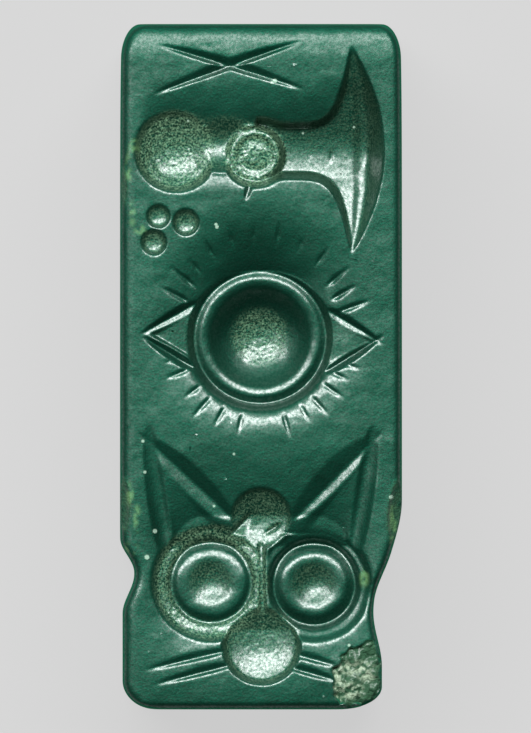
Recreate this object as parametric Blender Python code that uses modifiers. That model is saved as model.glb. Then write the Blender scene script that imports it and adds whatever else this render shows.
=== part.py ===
"""Seal stone: a four-sided bar of green jasper, bored lengthwise for a cord, its upper face engraved.

Metres, +Z up. The stone lies on its plain back with the engraved face up. The origin is the middle of
the underside, +X runs across the face to the right and +Y along it to the upper end.

The face is cut with the tools a gem engraver has: a ball drill (cups), a tube drill (rings) and a
cutting wheel (tapering strokes). Places on the face are shares of the stone's width and length from
the middle of the face, the outlines of cuts are shares of its width, and their depths are shares of
the deepest cut.
"""

import math
from collections import namedtuple

import bmesh
import bpy
from mathutils import Matrix, Vector

MM = 0.001

# The stone.
STONE_LENGTH = 17.0 * MM
STONE_WIDTH = 7.0 * MM
STONE_THICKNESS = 6.0 * MM
EDGE_ROUNDING = 0.42 * MM
LOWER_END_ROUNDING = 0.60 * MM
STRING_HOLE_RADIUS = 0.90 * MM
STRING_HOLE_SIDES = 32

# The lower end is narrower than the rest, more on the right side, and both sides are notched above it.
LEFT_NARROWING = 0.06 * MM
RIGHT_NARROWING = 0.50 * MM
LEFT_NOTCH_DEPTH = 0.32 * MM
RIGHT_NOTCH_DEPTH = 0.22 * MM
SIDE_STATIONS = 28
EDGE_SEGMENTS = 4

# The engraving.
DEEPEST_CUT = 0.95 * MM
CUTTER_CLEARANCE = DEEPEST_CUT / 6
CUP_WALL_SLOPE = 2.2
CUP_SIDES = 32
CUP_RINGS = 6
RING_SIDES = 40
RING_STEPS = 8
STROKE_RINGS = 10
LASH_RINGS = 6

WELD = 1e-7
SHARP_ANGLE = math.radians(25.0)

# A notch in a side: where it is deepest and how far it reaches, as shares of the stone's length.
Notch = namedtuple("Notch", "along reach_up reach_down")
LEFT_NOTCH = Notch(-0.300, 0.052, 0.062)
RIGHT_NOTCH = Notch(-0.360, 0.085, 0.075)
NARROWING_STARTS = -0.195
NARROWING_ENDS = -0.345

# A cup: rim and floor are the radius at the face and the radius of the ball that made its floor.
Cup = namedtuple("Cup", "name across along rim floor depth")
CUPS = (
    Cup("disc", -0.303, 0.315, 0.138, 0.191, 0.63),
    Cup("collar_dish", -0.027, 0.310, 0.089, 0.142, 0.24),
    Cup("collar_core", -0.023, 0.307, 0.046, 0.071, 0.34),
    Cup("upper_dot", -0.360, 0.217, 0.039, 0.046, 0.22),
    Cup("right_dot", -0.264, 0.208, 0.043, 0.050, 0.25),
    Cup("lower_dot", -0.381, 0.181, 0.043, 0.050, 0.25),
    Cup("eyeball", -0.012, 0.046, 0.202, 0.248, 0.89),
    Cup("cat_left_socket", -0.190, -0.321, 0.184, 0.319, 0.24),
    Cup("cat_right_socket", 0.179, -0.326, 0.181, 0.319, 0.24),
    Cup("cat_left_eye", -0.183, -0.311, 0.135, 0.177, 0.47),
    Cup("cat_right_eye", 0.179, -0.314, 0.135, 0.177, 0.47),
    Cup("cat_forehead", 0.002, -0.229, 0.110, 0.149, 0.42),
    Cup("cat_nose", -0.002, -0.407, 0.142, 0.184, 0.58),
)

# A ring cut by a tube drill: radius of its middle line, and half its width at the face.
Ring = namedtuple("Ring", "name across along radius half_width depth")
RINGS = (
    Ring("collar_ring", -0.027, 0.309, 0.064, 0.016, 0.37),
    Ring("eye_ring", -0.004, 0.041, 0.225, 0.025, 0.58),
    Ring("cat_left_ring", -0.183, -0.311, 0.135, 0.028, 0.50),
    Ring("cat_right_ring", 0.190, -0.315, 0.135, 0.028, 0.50),
)

# A stroke of the wheel from start to end: how far it reaches to its left and right at the face, and
# the share of its length at which it is deepest and widest. Four sides make a V, more a round trough.
Stroke = namedtuple(
    "Stroke", "name start end left right depth fullest sides rings", defaults=(0.5, 4, STROKE_RINGS)
)
STROKES = (
    Stroke("cross_falling", (-0.374, 0.469), (0.165, 0.402), 0.023, 0.023, 0.16),
    Stroke("cross_rising", (-0.395, 0.395), (0.151, 0.475), 0.025, 0.025, 0.17),
    Stroke("crescent", (0.314, 0.160), (0.317, 0.474), 0.050, 0.117, 1.00),
    Stroke("neck", (-0.232, 0.318), (-0.041, 0.318), 0.085, 0.085, 0.37, sides=8),
    Stroke("nick", (-0.066, 0.242), (-0.034, 0.275), 0.011, 0.011, 0.13),
    Stroke("left_corner_upper", (-0.427, 0.048), (-0.165, 0.109), 0.025, 0.025, 0.24, 0.6),
    Stroke("left_corner_lower", (-0.424, 0.045), (-0.200, -0.011), 0.025, 0.025, 0.24, 0.6),
    Stroke("right_corner_upper", (0.431, 0.030), (0.193, 0.094), 0.025, 0.025, 0.24, 0.6),
    Stroke("right_corner_lower", (0.434, 0.046), (0.200, -0.013), 0.025, 0.025, 0.24, 0.6),
    Stroke("left_ear_outer", (-0.339, -0.291), (-0.420, -0.081), 0.064, 0.057, 0.40, 0.35),
    Stroke("left_ear_inner", (-0.062, -0.229), (-0.427, -0.081), 0.032, 0.032, 0.29, 0.4),
    Stroke("right_ear_outer", (0.346, -0.291), (0.395, -0.081), 0.057, 0.053, 0.40, 0.35),
    Stroke("right_ear_inner", (0.094, -0.229), (0.406, -0.081), 0.032, 0.032, 0.29, 0.4),
    Stroke("nose_bridge", (0.002, -0.435), (0.002, -0.224), 0.053, 0.053, 0.19, sides=8),
    Stroke("left_whisker_upper", (-0.410, -0.444), (-0.090, -0.416), 0.014, 0.014, 0.10, 0.6),
    Stroke("left_whisker_lower", (-0.388, -0.464), (-0.076, -0.434), 0.014, 0.014, 0.13, 0.6),
    Stroke("right_whisker_upper", (0.087, -0.419), (0.296, -0.441), 0.014, 0.014, 0.10),
    Stroke("right_whisker_lower", (0.080, -0.439), (0.296, -0.463), 0.014, 0.014, 0.13),
)

# The trumpet between the collar and the crescent, turned about an axis above the face.
TRUMPET_ALONG = 0.313
TRUMPET_STARTS = 0.010
TRUMPET_ENDS = 0.318
TRUMPET_AXIS_HEIGHT = 0.096
TRUMPET_WAIST = 0.146
TRUMPET_MOUTH = 0.226
TRUMPET_FLARE = 2.6
TRUMPET_RINGS = 7

# The lashes, as two fans of short strokes round the eye. Rim and tip are the radii at which they start
# and end, as shares of the stone's width.
LASH_CENTRE = (-0.002, 0.040)
LASH_HALF_WIDTH = 0.010
Lashes = namedtuple("Lashes", "name count first_deg last_deg rim tip depth")
LASH_FANS = (
    Lashes("lower_lash", 12, 200.0, 342.0, 0.258, 0.350, 0.12),
    Lashes("upper_lash", 11, 148.0, 24.0, 0.290, 0.390, 0.06),
)

# The sunk fields inside the corners of the eye and inside the ears.
Field = namedtuple("Field", "name corners depth")
FIELDS = (
    Field("left_corner_field", ((-0.395, 0.046), (-0.225, 0.004), (-0.225, 0.086)), 0.12),
    Field("right_corner_field", ((0.399, 0.038), (0.229, 0.080), (0.236, -0.002)), 0.12),
    Field("left_ear_field", ((-0.388, -0.110), (-0.317, -0.282), (-0.076, -0.245)), 0.14),
    Field("right_ear_field", ((0.363, -0.110), (0.080, -0.245), (0.321, -0.282)), 0.14),
)

# A chip broken off an edge: an ellipsoid whose middle is beside or above the stone. The place across
# and along is as for the engraving; height is a share of the width above the face.
Chip = namedtuple("Chip", "name across along height radii")
CHIPS = (
    Chip("chip_lower_corner", 0.400, -0.470, 0.043, (0.156, 0.152, 0.106)),
    Chip("chip_right_edge", 0.605, -0.300, 0.078, (0.220, 0.290, 0.142)),
    Chip("chip_left_edge", -0.575, -0.215, 0.050, (0.130, 0.200, 0.106)),
    Chip("chip_upper_left", -0.560, 0.262, 0.064, (0.110, 0.185, 0.120)),
)


def clear_scene():
    """Remove what the file opened with."""
    for thing in list(bpy.data.objects):
        bpy.data.objects.remove(thing)


def new_collection(name):
    """A collection under the scene's own."""
    collection = bpy.data.collections.new(name)
    bpy.context.scene.collection.children.link(collection)
    return collection


def add_object(name, bm, collection):
    """An object from a bmesh, which is freed."""
    mesh = bpy.data.meshes.new(name)
    bm.to_mesh(mesh)
    bm.free()
    thing = bpy.data.objects.new(name, mesh)
    collection.objects.link(thing)
    return thing


def add_cutter(name, bm, cutters):
    """An object that only cuts the stone."""
    cutter = add_object(name, bm, cutters)
    cutter.hide_render = True
    cutter.display_type = "WIRE"
    return cutter


def jasper():
    """Dark green polished jasper."""
    material = bpy.data.materials.new("green_jasper")
    material.use_nodes = True
    shader = material.node_tree.nodes["Principled BSDF"]
    shader.inputs["Base Color"].default_value = (0.021, 0.095, 0.062, 1.0)
    shader.inputs["Roughness"].default_value = 0.32
    shader.inputs["Metallic"].default_value = 0.0
    return material


def on_face(across, along):
    """The point of the engraved face at these shares of the width and the length."""
    return Vector((across * STONE_WIDTH, along * STONE_LENGTH, STONE_THICKNESS))


def smooth_step(share):
    """0 below 0, 1 above 1, and an even curve between."""
    share = min(max(share, 0.0), 1.0)
    return share * share * (3.0 - 2.0 * share)


def side_loss(along, narrowing, notch, notch_depth):
    """How far a side lies inside the full width, at a share of the length."""
    step = smooth_step((NARROWING_STARTS - along) / (NARROWING_STARTS - NARROWING_ENDS))
    reach = notch.reach_up if along > notch.along else notch.reach_down
    away = min(abs(along - notch.along) / reach, 1.0)
    return narrowing * step + notch_depth * math.cos(away * math.pi / 2) ** 2


def bake(thing):
    """Give an object the mesh that its modifiers make."""
    evaluated = thing.evaluated_get(bpy.context.evaluated_depsgraph_get())
    thing.data = bpy.data.meshes.new_from_object(evaluated)
    thing.modifiers.clear()


def stone_blank(collection):
    """The bar before its sides wore down: a box with rounded edges, more so at the lower end."""
    bm = bmesh.new()
    bmesh.ops.create_cube(bm, size=1.0)
    bmesh.ops.scale(bm, vec=(STONE_WIDTH, STONE_LENGTH, STONE_THICKNESS), verts=bm.verts)
    bmesh.ops.translate(bm, vec=(0.0, 0.0, STONE_THICKNESS / 2), verts=bm.verts)
    widest = max(EDGE_ROUNDING, LOWER_END_ROUNDING)
    weights = bm.edges.layers.float.new("bevel_weight_edge")
    for edge in bm.edges:
        at_lower_end = all(vertex.co.y < 0.0 for vertex in edge.verts)
        edge[weights] = (LOWER_END_ROUNDING if at_lower_end else EDGE_ROUNDING) / widest
    stone = add_object("seal_stone", bm, collection)
    rounding = stone.modifiers.new("rounded_edges", "BEVEL")
    rounding.limit_method = "WEIGHT"
    rounding.width = widest
    rounding.segments = EDGE_SEGMENTS
    bake(stone)
    return stone


def wear_sides(stone):
    """Draw the sides in along the stone to its narrower, notched outline."""
    bm = bmesh.new()
    bm.from_mesh(stone.data)
    notched_from = max(LEFT_NOTCH.along + LEFT_NOTCH.reach_up, NARROWING_STARTS)
    notched_to = RIGHT_NOTCH.along - RIGHT_NOTCH.reach_down
    for station in range(SIDE_STATIONS + 1):
        along = notched_from + (notched_to - notched_from) * station / SIDE_STATIONS
        bmesh.ops.bisect_plane(
            bm,
            geom=bm.verts[:] + bm.edges[:] + bm.faces[:],
            dist=WELD,
            plane_co=(0.0, along * STONE_LENGTH, 0.0),
            plane_no=(0.0, 1.0, 0.0),
        )
    for vertex in bm.verts:
        along = vertex.co.y / STONE_LENGTH
        if vertex.co.x < 0.0:
            loss = side_loss(along, LEFT_NARROWING, LEFT_NOTCH, LEFT_NOTCH_DEPTH)
        else:
            loss = side_loss(along, RIGHT_NARROWING, RIGHT_NOTCH, RIGHT_NOTCH_DEPTH)
        vertex.co.x *= 1.0 - loss / (STONE_WIDTH / 2)
    bm.to_mesh(stone.data)
    bm.free()


def turned_cutter(name, profile, sides, place, cutters):
    """A cutter turned about +Z from (radius, height) points that run down its outer side."""
    bm = bmesh.new()
    chain = [bm.verts.new((radius, 0.0, height)) for radius, height in profile]
    for first, second in zip(chain, chain[1:]):
        bm.edges.new((first, second))
    if profile[0][0] > 0.0:
        bm.edges.new((chain[-1], chain[0]))
    cutter = add_cutter(name, bm, cutters)
    turning = cutter.modifiers.new("turned", "SCREW")
    turning.steps = turning.render_steps = sides
    turning.use_merge_vertices = True
    turning.merge_threshold = WELD
    cutter.location = place
    return cutter


def cup_cutter(cup, cutters):
    """The ball drill: a floor of one radius that meets a steeper wall under the rim."""
    rim = cup.rim * STONE_WIDTH
    ball = cup.floor * STONE_WIDTH
    depth = cup.depth * DEEPEST_CUT
    top = CUTTER_CLEARANCE
    reach = rim + top / CUP_WALL_SLOPE
    if depth + top < ball:
        reach = min(reach, math.sqrt(ball**2 - (ball - depth - top) ** 2))

    def height(radius):
        sag = ball - math.sqrt(max(ball**2 - radius**2, 0.0))
        return -min(depth - sag, (rim - radius) * CUP_WALL_SLOPE)

    radii = [reach * (CUP_RINGS - step) / CUP_RINGS for step in range(CUP_RINGS + 1)]
    profile = [(0.0, top)] + [(radius, height(radius)) for radius in radii]
    turned_cutter(cup.name, profile, CUP_SIDES, on_face(cup.across, cup.along), cutters)


def ring_cutter(ring, cutters):
    """The tube drill: a ring whose section is a parabola."""
    middle = ring.radius * STONE_WIDTH
    half_width = ring.half_width * STONE_WIDTH
    depth = ring.depth * DEEPEST_CUT
    reach = half_width * math.sqrt(1.0 + CUTTER_CLEARANCE / depth)
    profile = []
    for step in range(RING_STEPS + 1):
        offset = reach * (1.0 - 2.0 * step / RING_STEPS)
        profile.append((middle + offset, -depth * (1.0 - (offset / half_width) ** 2)))
    turned_cutter(ring.name, profile, RING_SIDES, on_face(ring.across, ring.along), cutters)


def trumpet_cutter(cutters):
    """A flaring trough, turned about an axis that lies across the stone above its face."""
    start = TRUMPET_STARTS * STONE_WIDTH
    length = (TRUMPET_ENDS - TRUMPET_STARTS) * STONE_WIDTH
    profile = [(0.0, length)]
    for step in range(TRUMPET_RINGS, -1, -1):
        share = step / TRUMPET_RINGS
        radius = TRUMPET_WAIST + (TRUMPET_MOUTH - TRUMPET_WAIST) * share**TRUMPET_FLARE
        profile.append((radius * STONE_WIDTH, length * share))
    profile.append((0.0, 0.0))
    place = on_face(0.0, TRUMPET_ALONG) + Vector((start, 0.0, TRUMPET_AXIS_HEIGHT * STONE_WIDTH))
    cutter = turned_cutter("trumpet", profile, RING_SIDES, place, cutters)
    cutter.rotation_euler = (0.0, math.pi / 2, 0.0)


def stroke_cutter(stroke, cutters):
    """The cutting wheel: a spindle, pointed at both ends, that is fullest part of the way along."""
    start = on_face(*stroke.start)
    end = on_face(*stroke.end)
    depth = stroke.depth * DEEPEST_CUT
    lift = min(CUTTER_CLEARANCE, depth / 2)
    grown = (depth + lift) / depth
    tip = 1.0 / math.sqrt(1.0 - lift / (depth + lift))
    run = (end - start).length
    forward = (end - start).normalized()
    up = Vector((0.0, 0.0, 1.0))
    left = up.cross(forward)
    fullest = start + forward * run * stroke.fullest
    bm = bmesh.new()
    bmesh.ops.create_uvsphere(bm, u_segments=stroke.sides, v_segments=stroke.rings, radius=1.0)
    for vertex in bm.verts:
        swell = 1.0 - vertex.co.z**2
        ring_radius = math.hypot(vertex.co.x, vertex.co.y)
        across = vertex.co.x / ring_radius if ring_radius > WELD else 0.0
        rise = vertex.co.y / ring_radius if ring_radius > WELD else 0.0
        side = stroke.left if across > 0.0 else stroke.right
        reach = run * ((1.0 - stroke.fullest) if vertex.co.z > 0.0 else stroke.fullest)
        vertex.co = (
            fullest
            + forward * vertex.co.z * reach * tip
            + left * across * swell * side * STONE_WIDTH * grown
            + up * (rise * swell * (depth + lift) + lift)
        )
    add_cutter(stroke.name, bm, cutters)


def lash_strokes():
    """The lashes as strokes, from the rim of the eye outwards."""
    for fan in LASH_FANS:
        for index in range(fan.count):
            angle = math.radians(
                fan.first_deg + (fan.last_deg - fan.first_deg) * index / (fan.count - 1)
            )
            ends = []
            for reach in (fan.rim, fan.tip):
                across = LASH_CENTRE[0] + reach * math.cos(angle)
                along = LASH_CENTRE[1] + reach * math.sin(angle) * STONE_WIDTH / STONE_LENGTH
                ends.append((across, along))
            yield Stroke(
                f"{fan.name}_{index + 1}",
                *ends,
                LASH_HALF_WIDTH,
                LASH_HALF_WIDTH,
                fan.depth,
                fullest=0.35,
                rings=LASH_RINGS,
            )


def field_cutter(field, cutters):
    """A flat sunk field: a thin plate with the field's outline."""
    bm = bmesh.new()
    rim = [on_face(*corner) for corner in field.corners]
    face = bm.faces.new([bm.verts.new(point) for point in rim])
    depth = field.depth * DEEPEST_CUT
    bmesh.ops.translate(bm, vec=(0.0, 0.0, -depth), verts=face.verts)
    top = bmesh.ops.extrude_face_region(bm, geom=[face])["geom"]
    lifted = [item for item in top if isinstance(item, bmesh.types.BMVert)]
    bmesh.ops.translate(bm, vec=(0.0, 0.0, depth + CUTTER_CLEARANCE), verts=lifted)
    bmesh.ops.recalc_face_normals(bm, faces=bm.faces)
    add_cutter(field.name, bm, cutters)


def chip_cutter(chip, cutters):
    """A broken hollow, like the print of an ellipsoid in the edge."""
    bm = bmesh.new()
    bmesh.ops.create_icosphere(bm, subdivisions=3, radius=STONE_WIDTH)
    bmesh.ops.scale(bm, vec=chip.radii, verts=bm.verts)
    cutter = add_cutter(chip.name, bm, cutters)
    cutter.location = on_face(chip.across, chip.along) + Vector((0.0, 0.0, chip.height * STONE_WIDTH))


def string_hole_cutter(cutters):
    """The drilled hole for the cord, along the middle of the stone."""
    bm = bmesh.new()
    bmesh.ops.create_cone(
        bm,
        cap_ends=True,
        segments=STRING_HOLE_SIDES,
        radius1=STRING_HOLE_RADIUS,
        radius2=STRING_HOLE_RADIUS,
        depth=STONE_LENGTH * 1.2,
        matrix=Matrix.Rotation(math.pi / 2, 4, "X"),
    )
    cutter = add_cutter("string_hole", bm, cutters)
    cutter.location = (0.0, 0.0, STONE_THICKNESS / 2)


def main():
    """Build the stone."""
    clear_scene()
    stones = new_collection("seal_stone")
    cutters = new_collection("engraving_tools")
    stone = stone_blank(stones)
    wear_sides(stone)
    stone.data.materials.append(jasper())
    string_hole_cutter(cutters)
    for chip in CHIPS:
        chip_cutter(chip, cutters)
    for field in FIELDS:
        field_cutter(field, cutters)
    for cup in CUPS:
        cup_cutter(cup, cutters)
    for ring in RINGS:
        ring_cutter(ring, cutters)
    for stroke in [*STROKES, *lash_strokes()]:
        stroke_cutter(stroke, cutters)
    trumpet_cutter(cutters)
    engraving = stone.modifiers.new("engraving", "BOOLEAN")
    engraving.operation = "DIFFERENCE"
    engraving.solver = "EXACT"
    engraving.operand_type = "COLLECTION"
    engraving.collection = cutters
    bake(stone)
    stone.data.shade_smooth()
    stone.data.set_sharp_from_angle(angle=SHARP_ANGLE)


main()
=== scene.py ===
"""Looks of an engraved seal stone: a worn bar of green jasper with one face cut in intaglio.

The stone is one closed mesh. Its outside is a loft of rounded sections along the bar, the cord hole
runs through it, and the engraved face is lowered by a height field that adds up what each of the
engraver's tools took away. The face is laid out in units of a 685th of the stone's length, with x to
the right and y down from a corner beyond the stone, and depths are in the same units.
"""

from __future__ import annotations

import logging
from dataclasses import dataclass, field
from enum import Enum

import bpy
import numpy as np
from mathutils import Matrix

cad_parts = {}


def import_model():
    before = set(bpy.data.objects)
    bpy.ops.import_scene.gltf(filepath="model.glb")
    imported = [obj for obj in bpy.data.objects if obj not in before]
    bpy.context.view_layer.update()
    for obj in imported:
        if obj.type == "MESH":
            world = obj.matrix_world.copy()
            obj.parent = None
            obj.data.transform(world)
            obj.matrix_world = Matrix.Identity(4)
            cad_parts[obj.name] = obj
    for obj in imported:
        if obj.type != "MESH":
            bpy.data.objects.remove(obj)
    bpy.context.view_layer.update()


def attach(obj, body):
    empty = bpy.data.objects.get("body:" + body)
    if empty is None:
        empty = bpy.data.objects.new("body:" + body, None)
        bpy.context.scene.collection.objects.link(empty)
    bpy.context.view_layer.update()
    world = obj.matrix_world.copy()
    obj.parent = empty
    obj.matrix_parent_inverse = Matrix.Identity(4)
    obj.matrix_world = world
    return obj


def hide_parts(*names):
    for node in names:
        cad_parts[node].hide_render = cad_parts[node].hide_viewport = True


LOG = logging.getLogger("seal_stone")

Array = np.ndarray
Signal = bpy.types.NodeSocket
Pair = tuple[float, float]
Row = tuple[float, ...]
Triple = tuple[float, float, float]

STONE_LENGTH = 685.5
UNIT = 0.017 / STONE_LENGTH
CENTRE_X = 261
CENTRE_Y = 366.75
UPPER_END = CENTRE_Y - STONE_LENGTH / 2
LOWER_END = CENTRE_Y + STONE_LENGTH / 2
THICKNESS = 0.006 / UNIT
ENGRAVED_REACH = 60  # how far down from the face the cuts and their masks can show


def smooth_step(low: float, high: float, value: Array) -> Array:
    """Return 0 below low, 1 above high and t * t * (3 - 2 * t) between; high may be the lower one."""
    share = np.clip((value - low) / (high - low), 0, 1)
    return share * share * (3 - 2 * share)


def rounded_max(first: Array, second: Array, reach: float) -> Array:
    """Return the larger of two arrays, with the crease between them filled where they are close.

    Args:
        first: One array of depths.
        second: The other.
        reach: How close the two are where the filling starts.

    Returns:
        The larger value plus a quarter of reach times (1 - gap / reach) squared, or less than that
        where the smaller one is nearly 0.
    """
    closeness = np.clip(1 - np.abs(first - second) / reach, 0, 1)
    lift = np.clip(np.minimum(first, second) / reach, 0, 1)
    return np.maximum(first, second) + closeness**2 * lift * reach / 4


def polygon_depth(corners: tuple, x: Array, y: Array) -> Array:
    """Return how far each point lies inside a convex polygon, below 0 outside.

    Args:
        corners: The corners in order, either way round.
        x: Across, in layout units.
        y: Down, in layout units.

    Returns:
        The least distance inwards from a side's line.
    """
    points = np.array(corners)
    ahead = np.roll(points, -1, axis=0)
    area = np.sum(points[:, 0] * ahead[:, 1] - ahead[:, 0] * points[:, 1])
    inside = np.full(np.broadcast(x, y).shape, np.inf)
    for (start_x, start_y), (end_x, end_y) in zip(points, ahead):
        run_x = end_x - start_x
        run_y = end_y - start_y
        cross = run_x * (y - start_y) - run_y * (x - start_x)
        inside = np.minimum(inside, cross * np.sign(area) / np.hypot(run_x, run_y))
    return inside


# The tools that cut the face. The cut of each is the depth that it took away at every point, 0 where
# it never touched, and its grain is the share of rough, unpolished surface that it left.


@dataclass(frozen=True)
class BallDrill:
    """A cup: the floor is part of a ball, and it meets a steeper wall under the rim."""

    x: float
    y: float
    rim: float
    ball: float
    depth: float
    grain: float = 0.5
    wall_slope: float = 2.2

    def cut(self, x: Array, y: Array) -> Array:
        """Return the lesser of depth - ball + sqrt(ball^2 - r^2) and (rim - r) * wall slope."""
        r = np.hypot(x - self.x, y - self.y)
        floor = self.depth - self.ball + np.sqrt(np.maximum(self.ball**2 - r**2, 0))
        return np.maximum(np.minimum(floor, (self.rim - r) * self.wall_slope), 0)


@dataclass(frozen=True)
class TurnedCut:
    """A cut that is round in plan, from drills and tubes set on one centre.

    Its grain lies between two radii, and the rest of it is smooth.
    """

    x: float
    y: float
    profile: tuple[Pair, ...]
    grain: float = 0.5
    wear: float = 1.5
    grain_from: float = -10
    grain_to: float = 100

    def cut(self, x: Array, y: Array) -> Array:
        """Return the profile's depth at each point's distance from the centre.

        The profile runs straight between its points, is mirrored through the centre, and is then
        rounded by a bell curve as wide as the wear.
        """
        step = 0.25
        radii, depths = np.array(self.profile).T
        fine = np.arange(-radii[-1] - 8, radii[-1] + 8, step)
        rough = np.interp(np.abs(fine), radii, depths)
        bell = np.exp(-0.5 * (np.arange(-6, 6.01, step) / self.wear) ** 2)
        worn = np.convolve(rough, bell / bell.sum(), mode="same")
        return np.interp(np.hypot(x - self.x, y - self.y), fine, worn)


@dataclass(frozen=True)
class WheelStroke:
    """A tapering stroke of the cutting wheel, with a V-shaped or a round section."""

    start: Pair
    end: Pair
    left: float
    right: float
    depth: float
    fullest: float = 0.5
    round_section: bool = False
    grain: float = 0

    def cut(self, x: Array, y: Array) -> Array:
        """Return the stroke's depth.

        Along the stroke the fullness is 1 - ((s - fullest) / part)^2, where part is the share of the
        stroke on that side of its fullest place. Across, a V falls off as |offset| / half-width and
        a round section as its square.
        """
        run_x = self.end[0] - self.start[0]
        run_y = self.end[1] - self.start[1]
        length = np.hypot(run_x, run_y)
        along = ((x - self.start[0]) * run_x + (y - self.start[1]) * run_y) / length**2
        across = ((x - self.start[0]) * run_y - (y - self.start[1]) * run_x) / length
        part = np.where(along < self.fullest, self.fullest, 1 - self.fullest)
        fullness = 1 - ((along - self.fullest) / part) ** 2
        offset = np.abs(across) / np.where(across > 0, self.left, self.right)
        if self.round_section:
            offset = offset**2
        return self.depth * np.maximum(fullness - offset, 0)


@dataclass(frozen=True)
class SunkField:
    """A flat or sloping floor sunk inside a convex polygon, with sloping sides."""
    corners: tuple[Pair, ...]
    depth: float
    fall: float = 0
    wall_slope: float = 1.4
    grain: float = 0

    def cut(self, x: Array, y: Array) -> Array:
        """Return the lesser of the wall and the floor, which is depth + fall * (y - highest corner)."""
        highest = min(corner[1] for corner in self.corners)
        floor = self.depth + self.fall * (y - highest)
        wall = polygon_depth(self.corners, x, y) * self.wall_slope
        return np.maximum(np.minimum(floor, wall), 0)


@dataclass(frozen=True)
class Trumpet:
    """The flaring trough and the crescent across its mouth, with a ridge between the two."""

    axis: float = 150
    left: float = 262
    neck: float = 285
    mouth: float = 351
    waist: float = 29
    neck_swell: float = 5
    flare: float = 74
    flare_power: float = 5
    depth: float = 25
    floor_rise: float = 0.29
    floor_round: float = 20
    wall_slope: float = 3.4
    crescent: float = 33
    crescent_fall: float = 5
    grain: float = 0.2

    def cut(self, x: Array, y: Array) -> Array:
        """Return the depth of the trough left of the mouth and of the crescent right of it.

        The trough's half-width is waist + flare * share^power past the neck. Its floor is a hyperbola
        across the axis, and its wall rises at a steeper slope from the boundary. The ridge at the
        mouth is the same hyperbola. The crescent falls away from the ridge as (4 t (1 - t))^2, and
        meets the face on an arc as ridge * (1 - t^3), where t is the share of the way to the arc.
        """
        q = np.abs(y - self.axis)
        span = self.mouth - self.neck
        share = np.maximum(x - self.neck, 0) / span
        half = self.waist + self.flare * share**self.flare_power
        half = half + self.neck_swell * smooth_step(self.neck, self.left, x)
        steepness = self.flare * self.flare_power / span * share ** (self.flare_power - 1)
        wall = (half - q) / np.sqrt(1 + steepness**2) * self.wall_slope
        floor = self.depth - self.floor_rise * (np.hypot(q, self.floor_round) - self.floor_round)
        floor = np.maximum(floor, 0)
        trough = np.minimum(floor, wall)
        trough = np.where((x > self.left - 6) & (x <= self.mouth), trough, 0)
        tip = self.waist + self.flare + 2
        width = np.maximum(self.crescent * (1 - (q / tip) ** 2), 0.5)
        t = np.clip((x - self.mouth) / width, 0, 1)
        fall = self.crescent_fall * width / self.crescent * (4 * t * (1 - t)) ** 2
        hollow = np.where((x > self.mouth) & (q < tip), floor * (1 - t**3) + fall, 0)
        return np.maximum(np.maximum(trough, hollow), 0)


@dataclass(frozen=True)
class Basin:
    """A broad shoulder worn round a deep cut, which falls in from the face as a parabola."""

    start: Pair
    end: Pair
    radius: float
    above: Pair
    beside: Pair
    below: Pair
    level: float

    def cut(self, x: Array, y: Array) -> Array:
        """Return the drop: amount * (1 - share)^2, where share runs over the reach outside the radius.

        Inside the radius the amount is the level at most. Reach and amount are given above, beside
        and below the cut, and blend with the square of the upward or downward part of the direction
        from the middle line.
        """
        run_x = self.end[0] - self.start[0]
        run_y = self.end[1] - self.start[1]
        length = np.hypot(run_x, run_y)
        along = ((x - self.start[0]) * run_x + (y - self.start[1]) * run_y) / length**2
        along = np.clip(along, 0, 1)
        off_x = x - self.start[0] - along * run_x
        off_y = y - self.start[1] - along * run_y
        r = np.hypot(off_x, off_y)
        upward = -off_y / np.maximum(r, self.radius)
        up = np.clip(upward, 0, 1) ** 2
        down = np.clip(-upward, 0, 1) ** 2
        side = 1 - up - down
        reach, amount = (up * self.above[k] + side * self.beside[k] + down * self.below[k] for k in (0, 1))
        share = np.clip((r - self.radius) / reach, 0, 1)
        amount = np.where(r < self.radius, np.minimum(amount, self.level), amount)
        return amount * (1 - share) ** 2


@dataclass(frozen=True)
class Flake:
    """A shallow scar where a flake came off an edge: part of an ellipsoid whose middle is outside."""

    x: float
    y: float
    height: float
    radii: Triple


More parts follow.
